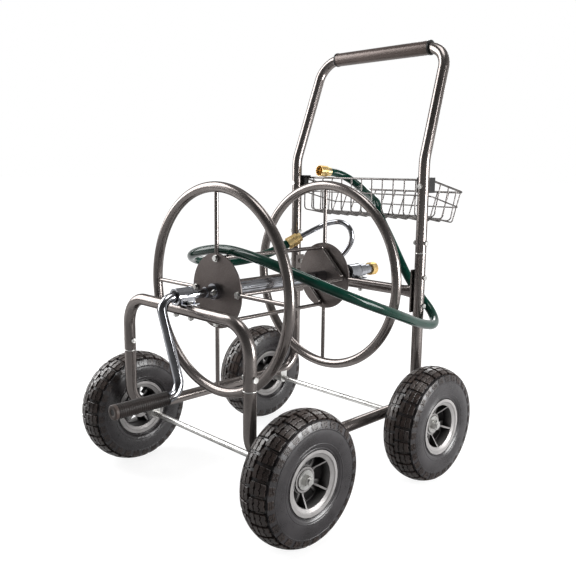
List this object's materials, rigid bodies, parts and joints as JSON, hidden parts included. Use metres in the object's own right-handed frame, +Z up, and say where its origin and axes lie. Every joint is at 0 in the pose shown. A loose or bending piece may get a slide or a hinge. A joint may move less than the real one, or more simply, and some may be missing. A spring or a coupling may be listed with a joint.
{
  "type": "garden hose reel cart",
  "caption": "Wheeled garden hose reel with a tubular steel frame, pneumatic tyres, a hand crank, a push handle and a wire basket.",
  "frame": {"origin": "on the ground under the middle of the cart's own footprint, hose left out", "axes": "+Z up, +Y towards the push handle, -Y towards the crank, X across the wheels"},
  "size_m": [0.6436, 0.9035, 0.9953],
  "materials": {
    "frame": "bronze-grey hammered powder coat",
    "rim": "warm grey enamel",
    "zinc": "bright zinc plate",
    "chrome": "bright chrome plate",
    "brass": "turned brass",
    "foam": "matt foam sleeve",
    "crank_grip": "ribbed moulded grip",
    "black_plastic": "moulded black",
    "bush": "black nylon",
    "seal_rubber": "soft black",
    "wire": "dark grey coated wire",
    "hose": "dark green, glossy",
    "tyre": "black block tread"
  },
  "bodies": {
    "cart": {"side_rail_left": "frame", "side_rail_right": "frame", "front_bridge": "frame", "rear_crossbar": "frame", "push_handle": "frame", "handle_grip": "foam", "grip_end_rings": "black_plastic", "frame_fasteners": "zinc", "front_axle": "zinc", "rear_axle": "zinc", "axle_saddles": "zinc", "axle_spacers": "zinc", "axle_fasteners": "zinc", "front_bearing_bush": "bush", "rear_bearing_bush": "bush", "front_bearing_strap": "chrome", "rear_bearing_strap": "chrome", "strap_fasteners": "zinc", "wire_basket": "wire", "basket_clips": "black_plastic", "clip_fasteners": "zinc", "inlet_swivel_body": "chrome", "swivel_seal": "seal_rubber", "hose": "hose", "hose_tail": "brass"},
    "reel": {"ring_front": "frame", "ring_rear": "frame", "spokes_front": "frame", "spokes_rear": "frame", "hub_disc_front": "frame", "hub_disc_rear": "frame", "hub_collars": "frame", "drum_rod_upper": "frame", "drum_rod_lower": "frame", "disc_fasteners": "zinc", "axle_pipe": "chrome", "crank_arm": "chrome", "crank_pin": "zinc", "grip_fasteners": "zinc", "outlet_pipe": "chrome", "outlet_coupling": "brass"},
    "crank_grip": {"crank_grip": "crank_grip"},
    "inlet_nut": {"inlet_coupling": "brass"},
    "hose_nut": {"hose_coupling": "brass"},
    "wheel_front_left": {"tyre_front_left": "tyre", "rim_front_left": "rim", "inner_tube_front_left": "seal_rubber", "wheel_bearings_front_left": "zinc"},
    "wheel_front_right": {"tyre_front_right": "tyre", "rim_front_right": "rim", "inner_tube_front_right": "seal_rubber", "wheel_bearings_front_right": "zinc"},
    "wheel_rear_left": {"tyre_rear_left": "tyre", "rim_rear_left": "rim", "inner_tube_rear_left": "seal_rubber", "wheel_bearings_rear_left": "zinc"},
    "wheel_rear_right": {"tyre_rear_right": "tyre", "rim_rear_right": "rim", "inner_tube_rear_right": "seal_rubber", "wheel_bearings_rear_right": "zinc"}
  },
  "joints": [
    {"name": "wheel_spin_front_left", "type": "hinge", "parent": "cart", "child": "wheel_front_left", "pos_m": [-0.2802, -0.18795, 0.13], "axis": [1, 0, 0], "continuous": true},
    {"name": "wheel_spin_front_right", "type": "hinge", "parent": "cart", "child": "wheel_front_right", "pos_m": [0.2802, -0.18795, 0.13], "axis": [1, 0, 0], "continuous": true},
    {"name": "wheel_spin_rear_left", "type": "hinge", "parent": "cart", "child": "wheel_rear_left", "pos_m": [-0.2802, 0.22645, 0.13], "axis": [1, 0, 0], "continuous": true},
    {"name": "wheel_spin_rear_right", "type": "hinge", "parent": "cart", "child": "wheel_rear_right", "pos_m": [0.2802, 0.22645, 0.13], "axis": [1, 0, 0], "continuous": true},
    {"name": "reel_spin", "type": "hinge", "parent": "cart", "child": "reel", "pos_m": [0, 0.01925, 0.4408], "axis": [0, 1, 0], "continuous": true, "deforming": ["hose"]},
    {"name": "crank_grip_spin", "type": "hinge", "parent": "reel", "child": "crank_grip", "pos_m": [0.07, -0.39475, 0.265], "axis": [0, 1, 0], "continuous": true},
    {"name": "inlet_nut_spin", "type": "hinge", "parent": "cart", "child": "inlet_nut", "pos_m": [0, 0.35925, 0.4408], "axis": [0, 1, 0], "continuous": true},
    {"name": "hose_nut_spin", "type": "hinge", "parent": "cart", "child": "hose_nut", "pos_m": [-0.12516, 0.29955, 0.68965], "axis": [-0.1317, -0.9876, 0.0856], "continuous": true}
  ]
}
